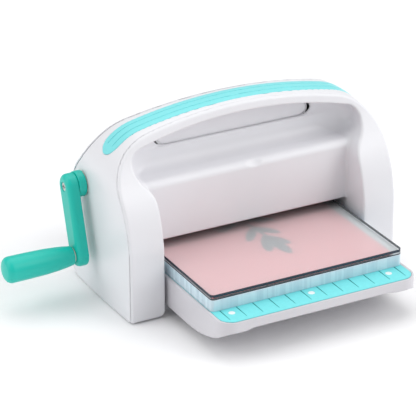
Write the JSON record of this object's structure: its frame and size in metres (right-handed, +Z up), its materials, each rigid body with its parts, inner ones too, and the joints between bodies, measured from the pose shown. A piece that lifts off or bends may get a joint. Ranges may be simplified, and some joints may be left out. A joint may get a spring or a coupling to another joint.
{
  "type": "die cutting machine",
  "caption": "Tabletop roller die cutting machine: white arch casing with a handle, side crank with turning grip, and a feed platform carrying cutting plates.",
  "frame": {"origin": "on the table, at the middle of the casing's flat underside", "axes": "+Z up; +X to the right seen from the front, away from the crank; the front, where the platform is loaded, is towards -Y"},
  "size_m": [0.2819, 0.224, 0.1348],
  "materials": {
    "shell_white": "moulded ABS, satin gloss",
    "inlay_aqua": "moulded, two fine grooves",
    "base_grey": "fine moulded texture",
    "rubber_dark": "matte anti-slip pad",
    "plated_steel": "ground and zinc plated",
    "screw_zinc": "bright zinc",
    "bush_bronze": "sintered bronze",
    "slide_natural": "natural acetal",
    "gear_steel": "sintered steel, oiled",
    "crank_teal": "moulded, satin gloss",
    "mat_aqua": "soft printed mat with ruled ticks",
    "mark_white": "printed dots",
    "spacer_acrylic": "pale blue translucent plate, polished edges",
    "pad_clear": "clear polycarbonate with dark edges",
    "card_pink": "smooth paper card",
    "die_steel": "photo-etched steel"
  },
  "bodies": {
    "casing": {"front_cover": "shell_white", "rear_cover": "shell_white", "centre_band": "shell_white", "handle_inlay": "inlay_aqua", "base_plate": "base_grey", "rubber_feet": "rubber_dark", "base_screws": "screw_zinc", "bed_plate": "plated_steel", "side_plate_left": "plated_steel", "side_plate_right": "plated_steel", "frame_screws": "screw_zinc", "tie_rods": "plated_steel", "rod_screws": "screw_zinc", "roller_bush_left": "bush_bronze", "roller_bush_right": "bush_bronze", "crank_inner_bush": "bush_bronze", "crank_outer_bush": "slide_natural", "cover_screws": "screw_zinc", "slide_strips": "slide_natural", "bearing_blocks": "bush_bronze"},
    "upper_roll": {"upper_roller": "plated_steel", "drive_gear": "gear_steel", "gear_key": "plated_steel", "retaining_rings": "plated_steel"},
    "lower_roll": {"lower_roller": "plated_steel"},
    "crank": {"crank_shaft": "plated_steel", "crank_pinion": "gear_steel", "crank_hub": "crank_teal", "crank_arm": "crank_teal", "crank_screw": "screw_zinc", "grip_spindle": "plated_steel", "grip_washer": "slide_natural"},
    "grip": {"crank_grip": "crank_teal"},
    "platform": {"platform_tray": "shell_white", "platform_mat": "mat_aqua", "mat_marks": "mark_white", "spacer_plate": "spacer_acrylic", "lower_cutting_pad": "pad_clear", "card_sheet": "card_pink", "cutting_die": "die_steel", "upper_cutting_pad": "pad_clear"}
  },
  "joints": [
    {"name": "crank_turn", "type": "hinge", "parent": "casing", "child": "crank", "pos_m": [-0.11, 0.0222, 0.0801], "axis": [1, 0, 0], "range_deg": [-1260, 1120]},
    {"name": "upper_roll_turn", "type": "hinge", "parent": "casing", "child": "upper_roll", "pos_m": [0, 0, 0.05545], "axis": [1, 0, 0], "range_deg": [-403, 453]},
    {"name": "lower_roll_turn", "type": "hinge", "parent": "casing", "child": "lower_roll", "pos_m": [0, 0, 0.01535], "axis": [1, 0, 0], "range_deg": [-810, 720]},
    {"name": "platform_feed", "type": "slide", "parent": "casing", "child": "platform", "axis": [0, 1, 0], "range_m": [-0.088, 0.099]},
    {"name": "grip_spin", "type": "hinge", "parent": "crank", "child": "grip", "pos_m": [-0.15, 0.00869, 0.033], "axis": [1, 0, 0], "continuous": true}
  ],
  "couplings": [
    {"joint": "upper_roll_turn", "follows": "crank_turn", "ratio": -0.35897},
    {"joint": "lower_roll_turn", "follows": "crank_turn", "ratio": 0.64103},
    {"joint": "platform_feed", "follows": "crank_turn", "m_per_rad": -0.0044872}
  ]
}
